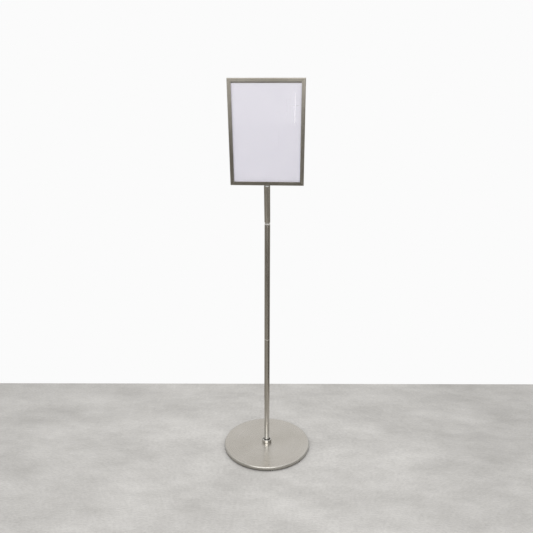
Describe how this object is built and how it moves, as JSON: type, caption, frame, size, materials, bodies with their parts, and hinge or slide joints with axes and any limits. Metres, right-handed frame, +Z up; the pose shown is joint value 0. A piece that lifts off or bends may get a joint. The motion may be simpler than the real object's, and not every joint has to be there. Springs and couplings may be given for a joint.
{
  "type": "menu sign stand",
  "caption": "Floor-standing menu holder: weighted round foot, thin sectional pole, tilting neck and a portrait channel frame that takes a sheet behind a clear cover.",
  "frame": {"origin": "centre of the foot's underside, on the floor, in line with the pole", "axes": "+Z up along the pole; the menu faces -Y; +X to the viewer's right"},
  "size_m": [0.3, 0.3, 1.2399],
  "materials": {
    "satin_steel": "satin, brushed along the length, slightly warm grey",
    "spun_steel": "satin with fine circular spinning marks, edge rubbed brighter",
    "polished_steel": "polished, turned",
    "plain_steel": "plain turned steel",
    "panel_steel": "rolled sheet, duller than the bars",
    "cast_iron": "as cast, dark",
    "black_rubber": "matt black, fine texture",
    "clear_acrylic": "clear, glossy, with fine scratches",
    "menu_paper": "matt, cool white"
  },
  "bodies": {
    "stand": {"base_pad": "black_rubber", "base_weight": "cast_iron", "base_cover": "spun_steel", "base_washer": "plain_steel", "base_bolt": "plain_steel", "base_collar": "polished_steel", "lower_tube": "satin_steel", "lower_tube_foot_plug": "plain_steel", "lower_tube_top_plug": "plain_steel", "joint_stud": "plain_steel", "joint_ring": "polished_steel", "middle_tube": "satin_steel", "middle_tube_foot_plug": "plain_steel", "tilt_fork": "polished_steel", "tilt_screw": "polished_steel", "tilt_nut": "polished_steel", "tilt_washers": "plain_steel"},
    "frame": {"tilt_tongue": "plain_steel", "neck_tube": "satin_steel", "neck_top_plug": "plain_steel", "frame_bottom_bar": "satin_steel", "frame_left_bar": "satin_steel", "frame_right_bar": "satin_steel", "frame_top_front_bar": "satin_steel", "frame_top_rear_bar": "satin_steel", "back_panel": "panel_steel"},
    "insert": {"clear_sheet": "clear_acrylic", "menu_sheet": "menu_paper"}
  },
  "joints": [
    {"name": "frame_tilt", "type": "hinge", "parent": "stand", "child": "frame", "pos_m": [0, 0, 0.808], "axis": [1, 0, 0], "range_deg": [-35, 15]},
    {"name": "menu_slide", "type": "slide", "parent": "frame", "child": "insert", "axis": [0, -0.1736, 0.9848], "range_m": [0, 0.3]}
  ]
}
